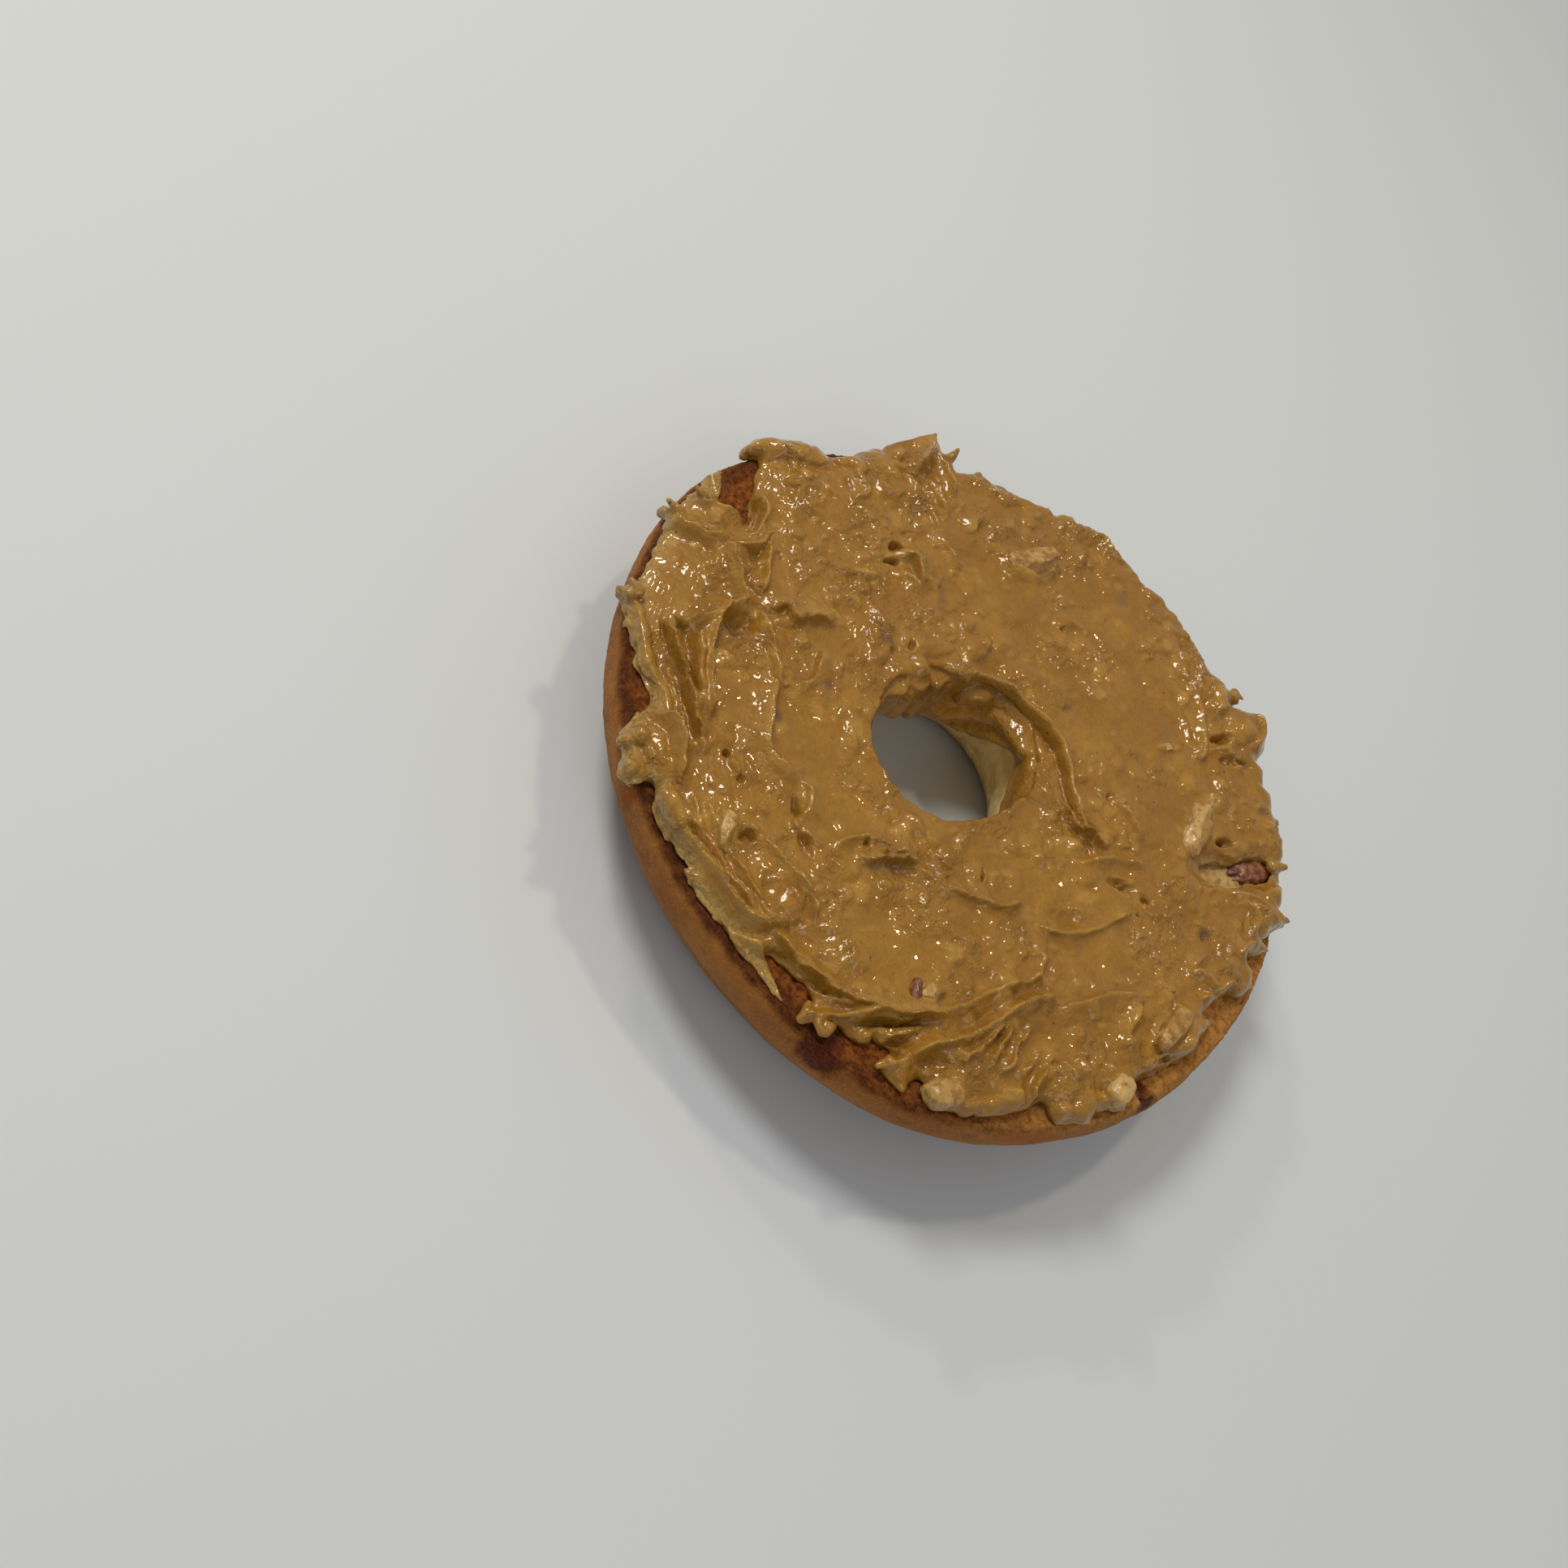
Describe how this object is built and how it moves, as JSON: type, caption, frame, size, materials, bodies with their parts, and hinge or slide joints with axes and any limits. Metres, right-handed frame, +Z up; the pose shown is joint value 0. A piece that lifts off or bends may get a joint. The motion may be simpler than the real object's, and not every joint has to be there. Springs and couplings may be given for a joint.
{
  "type": "bagel",
  "caption": "Lower half of a sliced ring of bread, cut side up, under a thick, ridged layer of crunchy peanut butter that runs over the rim of its hole.",
  "frame": {"origin": "middle of the footprint, on the surface that the half rests on", "axes": "+Z up out of the cut face; the bare toasted strip of the rim is at -Y, and the broadest overhanging lobe of peanut butter at -X"},
  "size_m": [0.1063, 0.1042, 0.0235],
  "materials": {
    "bread": "baked crust, golden to rosy brown, dry and slightly leathery, with a toasted cut rim and pale dough in the hole",
    "peanut_butter": "oily, tan peanut butter with wet highlights, dark specks and pale nut pieces"
  },
  "bodies": {
    "root": {"bread": "bread", "peanut_butter": "peanut_butter"}
  },
  "joints": []
}
